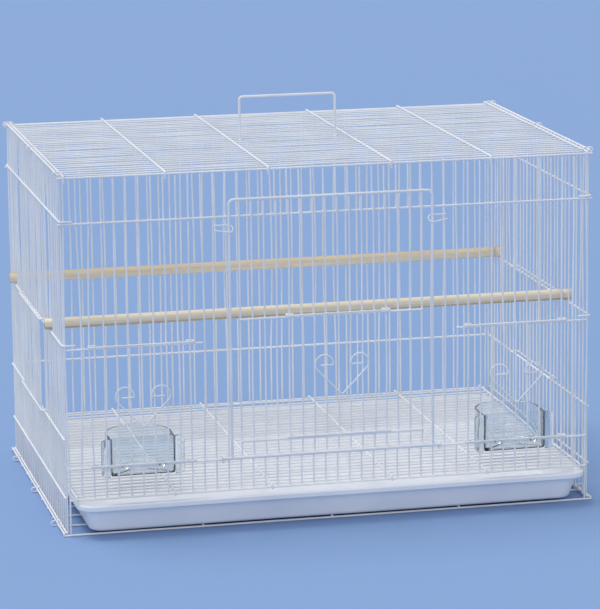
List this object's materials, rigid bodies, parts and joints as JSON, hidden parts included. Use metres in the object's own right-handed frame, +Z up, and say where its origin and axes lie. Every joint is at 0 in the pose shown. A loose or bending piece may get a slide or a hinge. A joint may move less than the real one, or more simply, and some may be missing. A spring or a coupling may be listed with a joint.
{
  "type": "flight bird cage",
  "caption": "Low rectangular wire cage for small birds to fly in, with a hinged door, sliding feeder and nest doors, perches, hung cups, a slide-out tray and a carrying handle.",
  "frame": {"origin": "on the surface that the cage stands on, midway between its side panels and midway between its front and rear panels", "axes": "+X to the right as seen from the front, +Y to the rear, +Z up; the doors face -Y"},
  "size_m": [0.6334, 0.4377, 0.4604],
  "materials": {
    "coated_wire": "semi-gloss white plastic coating on welded steel wire",
    "tray_plastic": "moulded white plastic, semi-gloss",
    "clear_plastic": "clear moulded plastic",
    "pale_wood": "bare sanded pale softwood dowel"
  },
  "bodies": {
    "cage": {"front_panel": "coated_wire", "rear_panel": "coated_wire", "left_panel": "coated_wire", "right_panel": "coated_wire", "top_panel": "coated_wire", "base_panel": "coated_wire", "top_rings_left": "coated_wire", "top_rings_right": "coated_wire", "base_rings_left": "coated_wire", "base_rings_right": "coated_wire"},
    "main_door": {"main_door": "coated_wire"},
    "inner_door": {"inner_door": "coated_wire", "middle_heart": "coated_wire"},
    "left_clip": {"left_clip": "coated_wire"},
    "right_clip": {"right_clip": "coated_wire"},
    "left_feeder_door": {"left_feeder_door": "coated_wire", "left_heart": "coated_wire"},
    "right_feeder_door": {"right_feeder_door": "coated_wire", "right_heart": "coated_wire"},
    "left_side_door": {"left_side_door": "coated_wire"},
    "right_side_door": {"right_side_door": "coated_wire"},
    "slide_tray": {"slide_tray": "tray_plastic"},
    "floor_grate": {"floor_grate": "coated_wire"},
    "carry_handle": {"carry_handle": "coated_wire"},
    "left_cup": {"left_cup": "clear_plastic"},
    "right_cup": {"right_cup": "clear_plastic"},
    "front_perch": {"front_perch": "pale_wood"},
    "rear_perch": {"rear_perch": "pale_wood"}
  },
  "joints": [
    {"name": "main_door_hinge", "type": "hinge", "parent": "cage", "child": "main_door", "pos_m": [0, -0.2078, 0.0775], "axis": [1, 0, 0], "range_deg": [0, 90]},
    {"name": "inner_door_slide", "type": "slide", "parent": "main_door", "child": "inner_door", "axis": [0, 0, 1], "range_m": [0, 0.131]},
    {"name": "left_clip_turn", "type": "hinge", "parent": "main_door", "child": "left_clip", "pos_m": [-0.117, -0.2151, 0.343], "axis": [0, 0, 1], "range_deg": [0, 90]},
    {"name": "right_clip_turn", "type": "hinge", "parent": "main_door", "child": "right_clip", "pos_m": [0.117, -0.2151, 0.343], "axis": [0, 0, -1], "range_deg": [0, 90]},
    {"name": "left_feeder_door_slide", "type": "slide", "parent": "cage", "child": "left_feeder_door", "axis": [0, 0, 1], "range_m": [0, 0.131]},
    {"name": "right_feeder_door_slide", "type": "slide", "parent": "cage", "child": "right_feeder_door", "axis": [0, 0, 1], "range_m": [0, 0.131]},
    {"name": "left_side_door_slide", "type": "slide", "parent": "cage", "child": "left_side_door", "axis": [0, 0, 1], "range_m": [0, 0.103]},
    {"name": "right_side_door_slide", "type": "slide", "parent": "cage", "child": "right_side_door", "axis": [0, 0, 1], "range_m": [0, 0.103]},
    {"name": "tray_slide", "type": "slide", "parent": "cage", "child": "slide_tray", "axis": [0, -1, 0], "range_m": [0, 0.395]},
    {"name": "grate_lift", "type": "slide", "parent": "cage", "child": "floor_grate", "axis": [0, 0, 1], "range_m": [0, 0.015]},
    {"name": "handle_hinge", "type": "hinge", "parent": "cage", "child": "carry_handle", "pos_m": [0, 0, 0.4079], "axis": [1, 0, 0], "range_deg": [-60, 90]},
    {"name": "left_cup_lift", "type": "slide", "parent": "cage", "child": "left_cup", "axis": [0, 0, 1], "range_m": [0, 0.04]},
    {"name": "right_cup_lift", "type": "slide", "parent": "cage", "child": "right_cup", "axis": [0, 0, 1], "range_m": [0, 0.04]},
    {"name": "front_perch_lift", "type": "slide", "parent": "cage", "child": "front_perch", "axis": [0, 0, 1], "range_m": [0, 0.12]},
    {"name": "rear_perch_lift", "type": "slide", "parent": "cage", "child": "rear_perch", "axis": [0, 0, 1], "range_m": [0, 0.12]}
  ]
}
